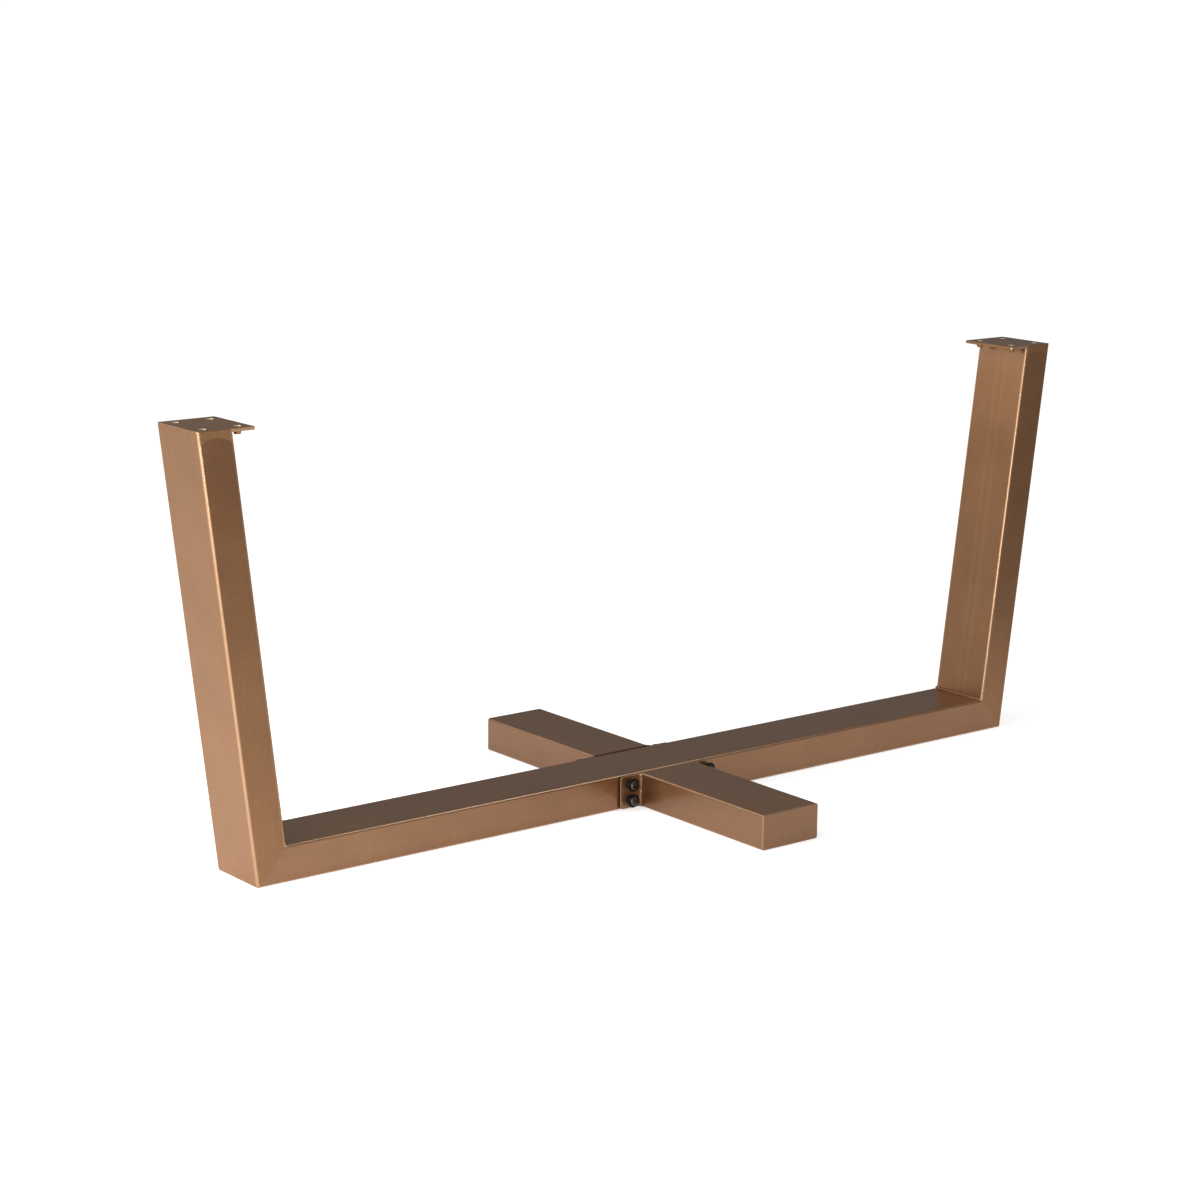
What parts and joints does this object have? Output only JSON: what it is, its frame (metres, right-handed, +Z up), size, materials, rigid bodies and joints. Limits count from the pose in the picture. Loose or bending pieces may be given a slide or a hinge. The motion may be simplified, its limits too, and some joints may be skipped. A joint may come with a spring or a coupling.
{
  "type": "x shaped table leg",
  "caption": "X shaped steel table base: a wide U frame with outward leaning legs and drilled top plates, crossed at floor level by bolted arms.",
  "frame": {"origin": "on the floor, under the middle of the crossing of the long rail and the arms", "axes": "+X along the long rail to the right-hand leg, +Y along the arms to the rear, +Z up to the table top"},
  "size_m": [1.8098, 0.756, 0.72],
  "materials": {
    "bronze_coat": "satin metallic bronze powder coat on steel",
    "black_fasteners": "satin black oxide on steel"
  },
  "bodies": {
    "root": {"front_arm": "bronze_coat", "front_arm_weld_left": "bronze_coat", "front_arm_weld_right": "bronze_coat", "front_end_cap": "bronze_coat", "front_flange": "bronze_coat", "left_corner_weld": "bronze_coat", "left_leg": "bronze_coat", "left_top_plate": "bronze_coat", "long_rail": "bronze_coat", "rear_arm": "bronze_coat", "rear_arm_weld_left": "bronze_coat", "rear_arm_weld_right": "bronze_coat", "rear_end_cap": "bronze_coat", "rear_flange": "bronze_coat", "right_corner_weld": "bronze_coat", "right_leg": "bronze_coat", "right_top_plate": "bronze_coat", "rivet_nut_front_lower_left": "black_fasteners", "rivet_nut_front_lower_right": "black_fasteners", "rivet_nut_front_upper_left": "black_fasteners", "rivet_nut_front_upper_right": "black_fasteners", "rivet_nut_rear_lower_left": "black_fasteners", "rivet_nut_rear_lower_right": "black_fasteners", "rivet_nut_rear_upper_left": "black_fasteners", "rivet_nut_rear_upper_right": "black_fasteners", "screw_front_lower_left": "black_fasteners", "screw_front_lower_right": "black_fasteners", "screw_front_upper_left": "black_fasteners", "screw_front_upper_right": "black_fasteners", "screw_rear_lower_left": "black_fasteners", "screw_rear_lower_right": "black_fasteners", "screw_rear_upper_left": "black_fasteners", "screw_rear_upper_right": "black_fasteners", "washer_front_lower_left": "black_fasteners", "washer_front_lower_right": "black_fasteners", "washer_front_upper_left": "black_fasteners", "washer_front_upper_right": "black_fasteners", "washer_rear_lower_left": "black_fasteners", "washer_rear_lower_right": "black_fasteners", "washer_rear_upper_left": "black_fasteners", "washer_rear_upper_right": "black_fasteners"}
  },
  "joints": []
}
